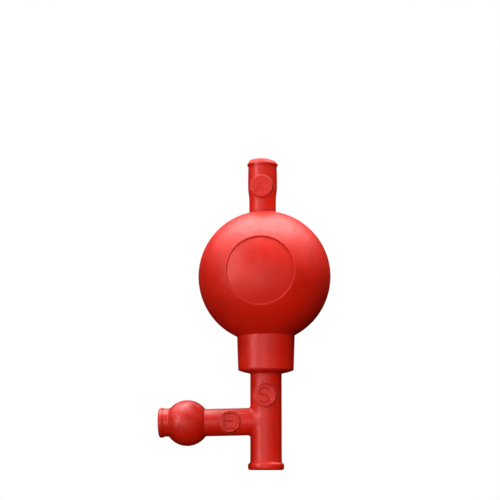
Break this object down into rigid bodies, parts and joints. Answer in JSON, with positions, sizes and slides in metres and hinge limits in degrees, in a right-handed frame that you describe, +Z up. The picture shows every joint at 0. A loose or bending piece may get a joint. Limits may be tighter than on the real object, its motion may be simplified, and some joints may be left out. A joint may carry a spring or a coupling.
{
  "type": "pipette filler bulb",
  "caption": "Rubber pipette filler: a squeeze bulb with pinch valves for air, suction and exhaust, a pipette socket below and a small blow-out bulb on a side arm.",
  "frame": {"origin": "centre of the pipette socket's mouth, in the plane of its rim", "axes": "+Z up the suction tube's axis to the bulb, -Y to the front that the thumb presses, -X along the exhaust arm"},
  "size_m": [0.0779, 0.0572, 0.1405],
  "materials": {
    "red_rubber": "moulded satin",
    "ball_glass": "polished"
  },
  "bodies": {
    "root": {"bulb_shell": "red_rubber", "air_tube": "red_rubber", "suction_tube": "red_rubber", "exhaust_arm": "red_rubber", "exhaust_bulb": "red_rubber", "air_valve_ball": "ball_glass", "suction_valve_ball": "ball_glass", "exhaust_valve_ball": "ball_glass"},
    "bulb_front": {"bulb_front_wall": "red_rubber"},
    "bulb_rear": {"bulb_rear_wall": "red_rubber"},
    "air_pad_front": {"air_pad_front": "red_rubber"},
    "air_pad_rear": {"air_pad_rear": "red_rubber"},
    "suction_pad_front": {"suction_pad_front": "red_rubber"},
    "suction_pad_rear": {"suction_pad_rear": "red_rubber"},
    "exhaust_pad_front": {"exhaust_pad_front": "red_rubber"},
    "exhaust_pad_rear": {"exhaust_pad_rear": "red_rubber"},
    "exhaust_bulb_front": {"exhaust_bulb_front_wall": "red_rubber"},
    "exhaust_bulb_rear": {"exhaust_bulb_rear_wall": "red_rubber"}
  },
  "joints": [
    {"name": "bulb_squeeze", "type": "slide", "parent": "root", "child": "bulb_front", "axis": [0, 1, 0], "range_m": [0, 0.014], "stiffness_N_per_m": 1200},
    {"name": "bulb_squeeze_rear", "type": "slide", "parent": "root", "child": "bulb_rear", "axis": [0, -1, 0], "range_m": [0, 0.014], "stiffness_N_per_m": 1200},
    {"name": "air_pinch", "type": "slide", "parent": "root", "child": "air_pad_front", "axis": [0, 1, 0], "range_m": [0, 0.0012], "stiffness_N_per_m": 5000},
    {"name": "air_pinch_rear", "type": "slide", "parent": "root", "child": "air_pad_rear", "axis": [0, -1, 0], "range_m": [0, 0.0012], "stiffness_N_per_m": 5000},
    {"name": "suction_pinch", "type": "slide", "parent": "root", "child": "suction_pad_front", "axis": [0, 1, 0], "range_m": [0, 0.0012], "stiffness_N_per_m": 5000},
    {"name": "suction_pinch_rear", "type": "slide", "parent": "root", "child": "suction_pad_rear", "axis": [0, -1, 0], "range_m": [0, 0.0012], "stiffness_N_per_m": 5000},
    {"name": "exhaust_pinch", "type": "slide", "parent": "root", "child": "exhaust_pad_front", "axis": [0, 1, 0], "range_m": [0, 0.001], "stiffness_N_per_m": 5000},
    {"name": "exhaust_pinch_rear", "type": "slide", "parent": "root", "child": "exhaust_pad_rear", "axis": [0, -1, 0], "range_m": [0, 0.001], "stiffness_N_per_m": 5000},
    {"name": "exhaust_bulb_squeeze", "type": "slide", "parent": "root", "child": "exhaust_bulb_front", "axis": [0, 1, 0], "range_m": [0, 0.005], "stiffness_N_per_m": 1500},
    {"name": "exhaust_bulb_squeeze_rear", "type": "slide", "parent": "root", "child": "exhaust_bulb_rear", "axis": [0, -1, 0], "range_m": [0, 0.005], "stiffness_N_per_m": 1500}
  ],
  "couplings": [
    {"joint": "bulb_squeeze_rear", "follows": "bulb_squeeze", "ratio": 1},
    {"joint": "air_pinch_rear", "follows": "air_pinch", "ratio": 1},
    {"joint": "suction_pinch_rear", "follows": "suction_pinch", "ratio": 1},
    {"joint": "exhaust_pinch_rear", "follows": "exhaust_pinch", "ratio": 1},
    {"joint": "exhaust_bulb_squeeze_rear", "follows": "exhaust_bulb_squeeze", "ratio": 1}
  ]
}
